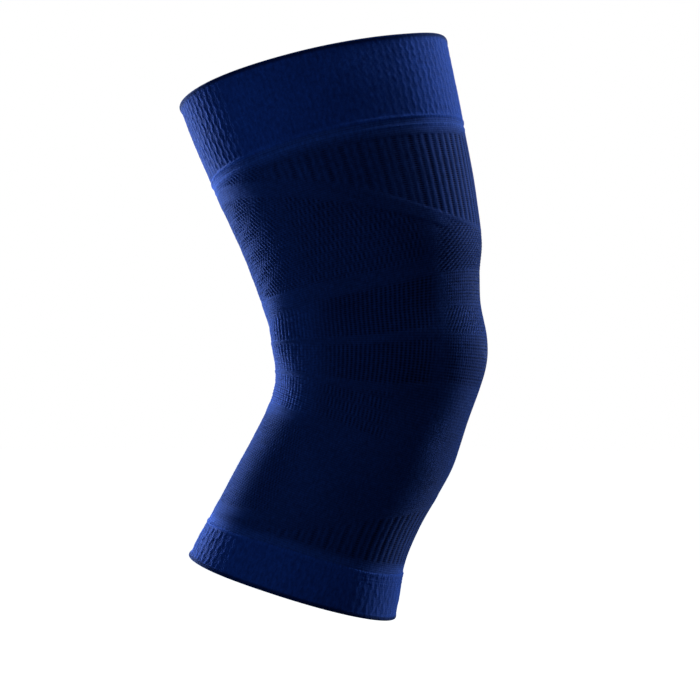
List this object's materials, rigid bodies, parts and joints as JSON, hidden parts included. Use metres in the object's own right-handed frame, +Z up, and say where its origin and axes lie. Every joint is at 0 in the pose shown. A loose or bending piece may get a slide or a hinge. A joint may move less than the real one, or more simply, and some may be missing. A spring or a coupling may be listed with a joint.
{
  "type": "knee sleeve",
  "caption": "Ribbed knitted tube for a bent knee, wider at the thigh than at the calf, with a doubled cuff at each open end and smooth bands across the knee.",
  "frame": {"origin": "the middle of the knee, where the leg's bent middle line crosses the height of the kneecap", "axes": "+Z up as the sleeve is worn, +X to the front of the knee, +Y across the leg"},
  "size_m": [0.1751, 0.149, 0.3275],
  "materials": {
    "body_knit": "matt navy blue compression knit with a soft sheen at its edges, fine ribs, grids and smooth bands",
    "cuff_knit": "matt royal blue doubled knit with short upright wrinkles, a little brighter than the body"
  },
  "bodies": {
    "root": {"upper_cuff": "cuff_knit", "sleeve_body": "body_knit", "lower_cuff": "cuff_knit"}
  },
  "joints": []
}
